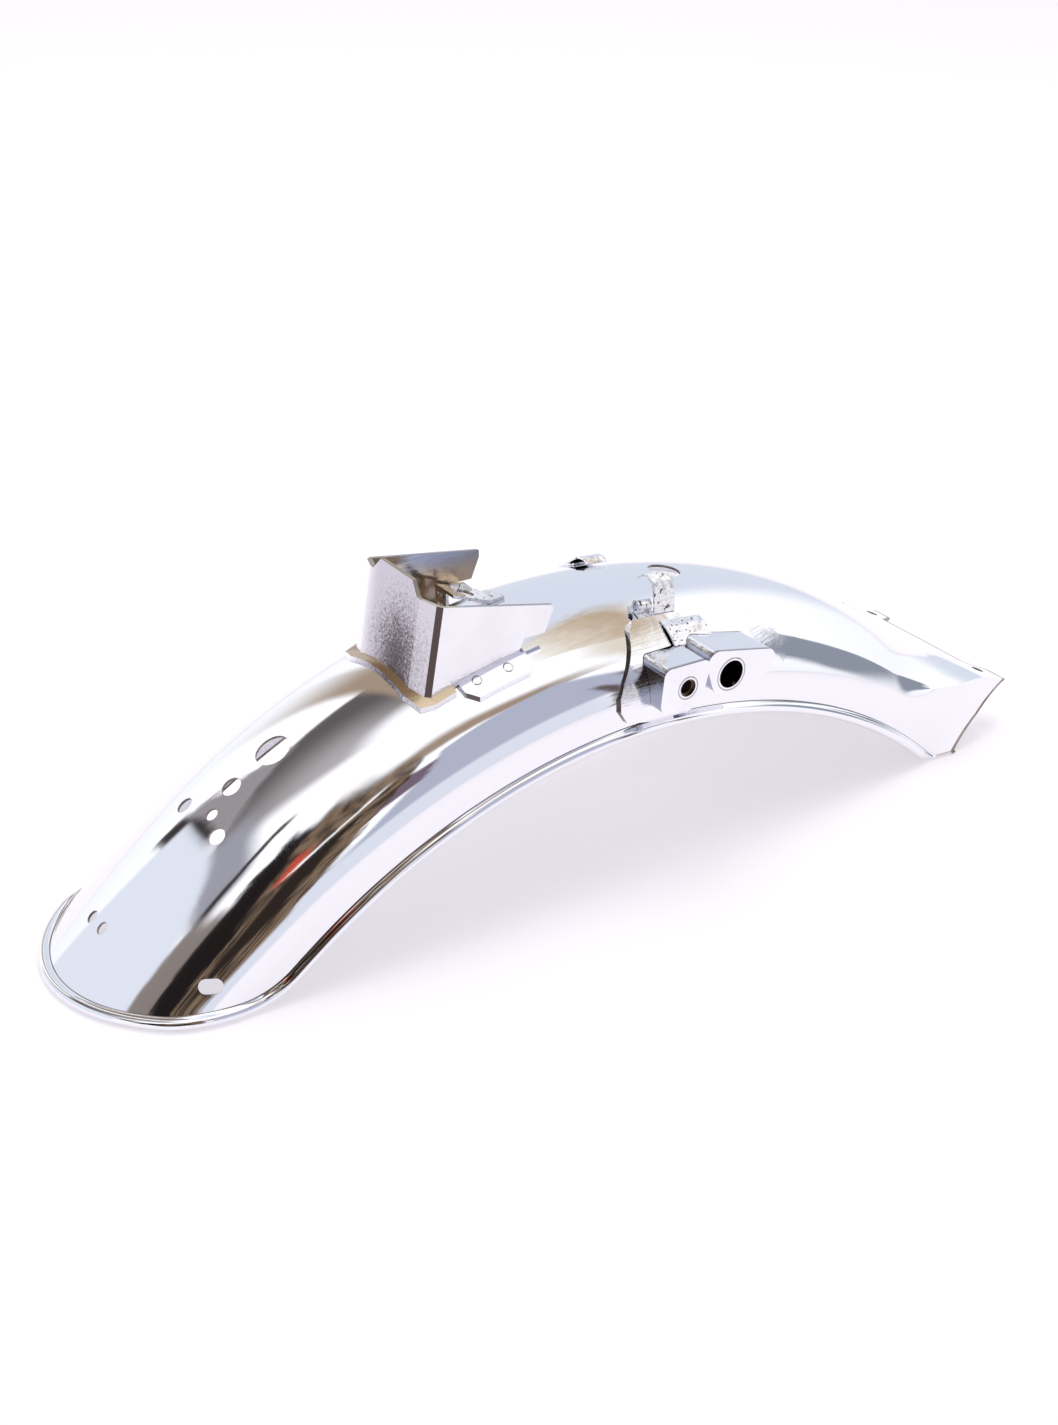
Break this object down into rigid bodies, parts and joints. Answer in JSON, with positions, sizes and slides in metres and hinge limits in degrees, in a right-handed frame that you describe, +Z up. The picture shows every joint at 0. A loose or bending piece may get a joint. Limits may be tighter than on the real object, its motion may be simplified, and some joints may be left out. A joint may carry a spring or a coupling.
{
  "type": "motorcycle rear mudguard",
  "caption": "Chrome rear mudguard for a small motorcycle: a long curved blade with a rolled rim, welded tail bracket, side bracket and clips.",
  "frame": {"origin": "on the floor under the arch's centre, midway between the side walls", "axes": "+X across the mudguard towards the side bracket, +Y from the tail to the front ears, +Z up; it lies on the rolled rim of its tail and on its two front feet"},
  "size_m": [0.1332, 0.5245, 0.154],
  "materials": {
    "blade_chrome": "bright chrome plating",
    "bracket_chrome": "chrome plating over unpolished sheet",
    "clip_chrome": "chrome plating, crinkled at the bends",
    "nut_steel": "plated steel, dull in the bore"
  },
  "bodies": {
    "root": {"blade": "blade_chrome", "tail_bracket": "bracket_chrome", "catch_plate": "bracket_chrome", "side_bracket": "blade_chrome", "weld_nut": "nut_steel", "wire_clip_right": "clip_chrome", "wire_clip_left": "clip_chrome", "strap_clip": "clip_chrome"}
  },
  "joints": []
}
